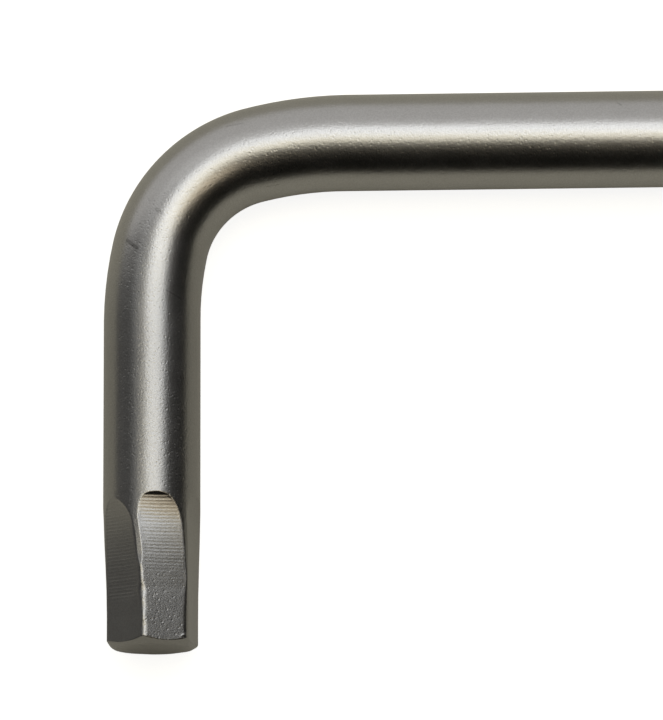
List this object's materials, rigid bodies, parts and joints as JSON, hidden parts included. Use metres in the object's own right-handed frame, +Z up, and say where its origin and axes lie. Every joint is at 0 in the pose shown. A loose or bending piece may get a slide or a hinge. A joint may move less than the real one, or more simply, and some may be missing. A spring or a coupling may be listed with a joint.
{
  "type": "hex key",
  "caption": "L-shaped hex key bent from round bar, with a milled hexagonal tip on the short arm.",
  "frame": {"origin": "middle of the outline, on the surface that the key lies on", "axes": "+X along the long arm towards its free end, short arm towards -Y, +Z up from the surface"},
  "size_m": [0.063, 0.0202, 0.0035],
  "materials": {
    "steel": "blasted and satin nickel plated, fine matt speckle, with milling marks on the hexagon"
  },
  "bodies": {
    "root": {"hex_key": "steel"}
  },
  "joints": []
}
